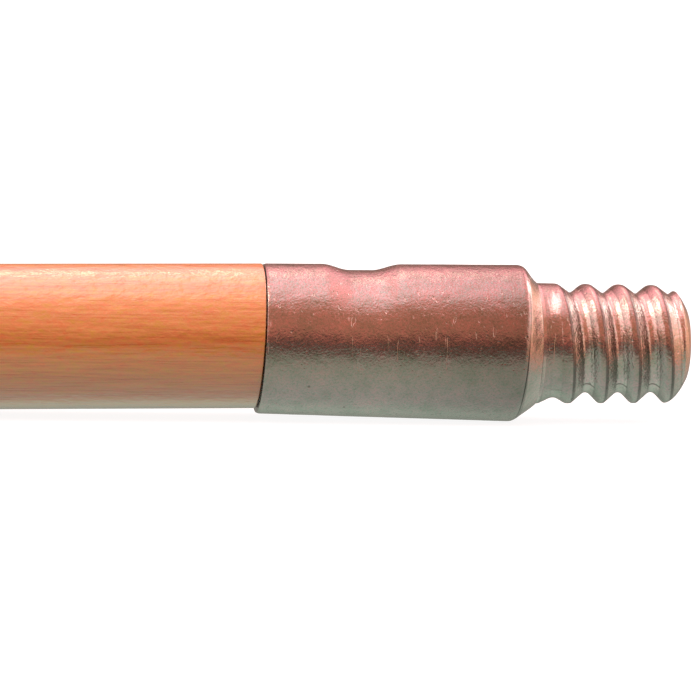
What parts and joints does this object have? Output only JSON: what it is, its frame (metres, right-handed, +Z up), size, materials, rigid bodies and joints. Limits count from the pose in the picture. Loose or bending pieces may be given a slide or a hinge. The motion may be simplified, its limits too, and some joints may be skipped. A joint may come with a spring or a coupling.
{
  "type": "roller extension pole",
  "caption": "Long round lacquered wooden pole with a crimped metal socket on one end that carries a blunt right-hand external thread for a paint roller handle.",
  "frame": {"origin": "centre of the metal tip's flat end face, on the axis of its thread", "axes": "+X along the thread, out of the tip; the pole runs back along -X; +Z up, with the crimp on top"},
  "size_m": [1.219, 0.0238, 0.0238],
  "materials": {
    "lacquered_wood": "clear amber lacquer, gloss",
    "die_cast_zinc": "as cast, satin"
  },
  "bodies": {
    "root": {"wood_pole": "lacquered_wood", "threaded_tip": "die_cast_zinc"}
  },
  "joints": []
}
